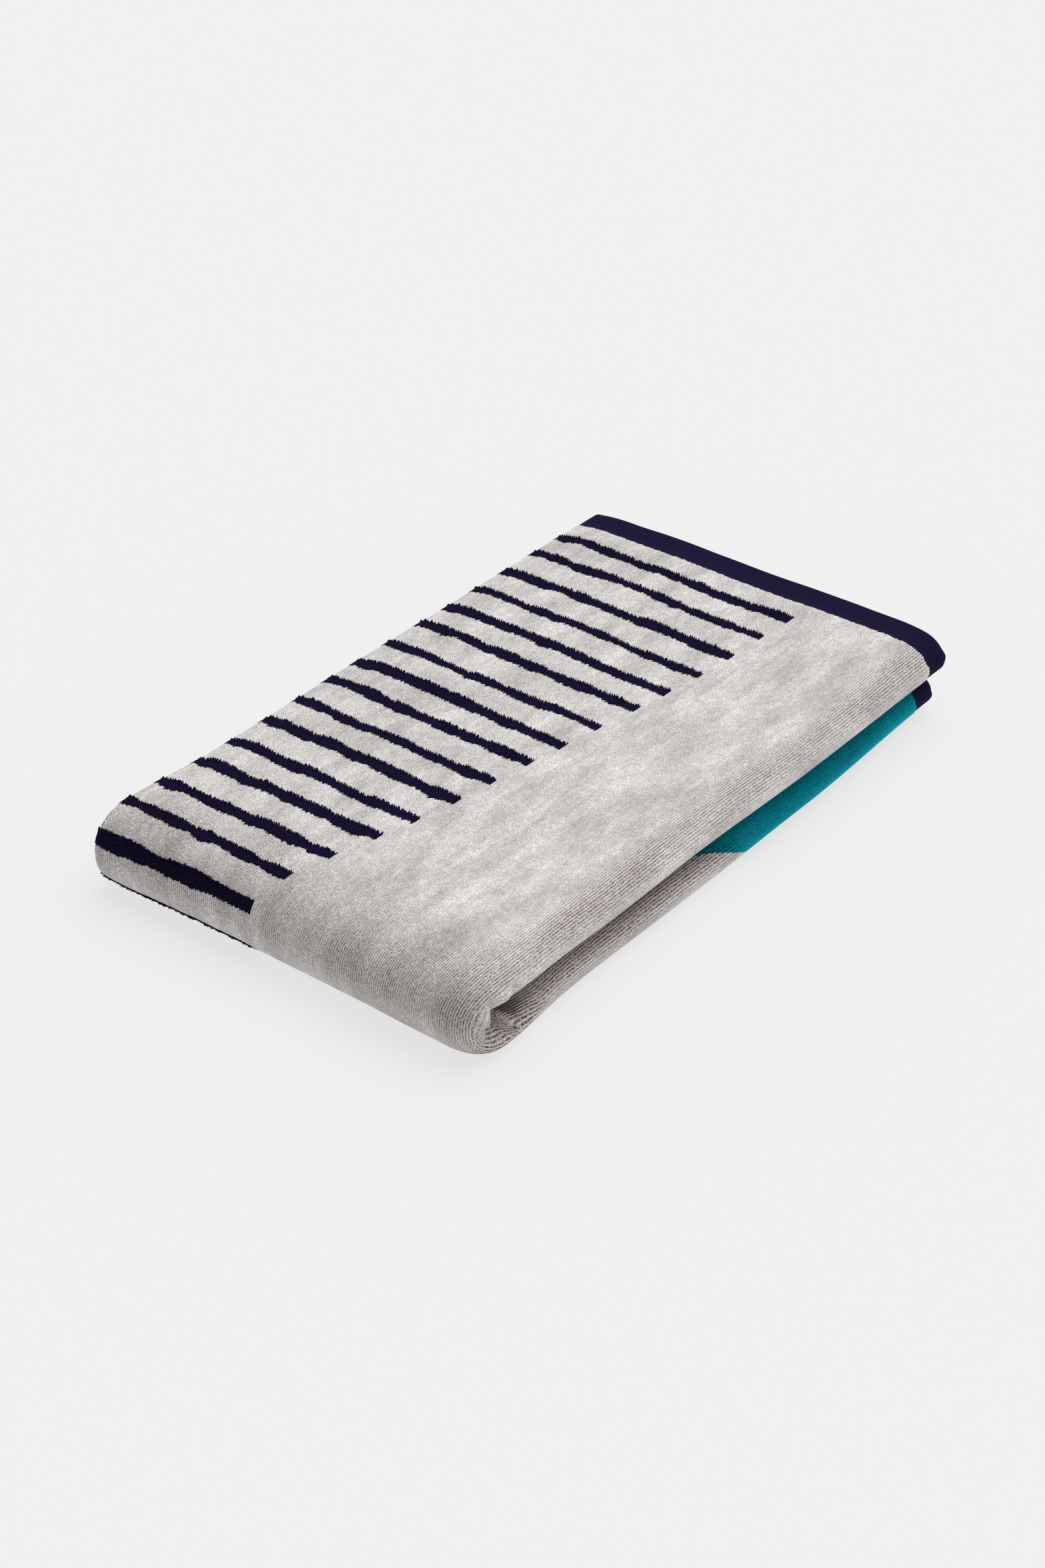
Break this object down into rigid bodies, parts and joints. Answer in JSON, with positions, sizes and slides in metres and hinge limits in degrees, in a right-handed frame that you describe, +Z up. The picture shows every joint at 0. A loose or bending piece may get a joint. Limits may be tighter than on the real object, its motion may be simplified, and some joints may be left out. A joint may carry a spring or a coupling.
{
  "type": "folded beach towel",
  "caption": "Velour terry beach towel folded into a soft rectangular pad, with a rounded fold at one end and flat hems at the other.",
  "frame": {"origin": "under the middle of the folded towel, on the surface it rests on", "axes": "+X along the folded length from the rounded fold to the hems, +Y across towards the long edge with the cloth's free edges, +Z up"},
  "size_m": [0.506, 0.3038, 0.0577],
  "materials": {
    "velour": "sheared cotton velour terry, pale grey with navy stripes and a teal field, matt with a soft nap"
  },
  "bodies": {
    "root": {"towel": "velour"}
  },
  "joints": []
}
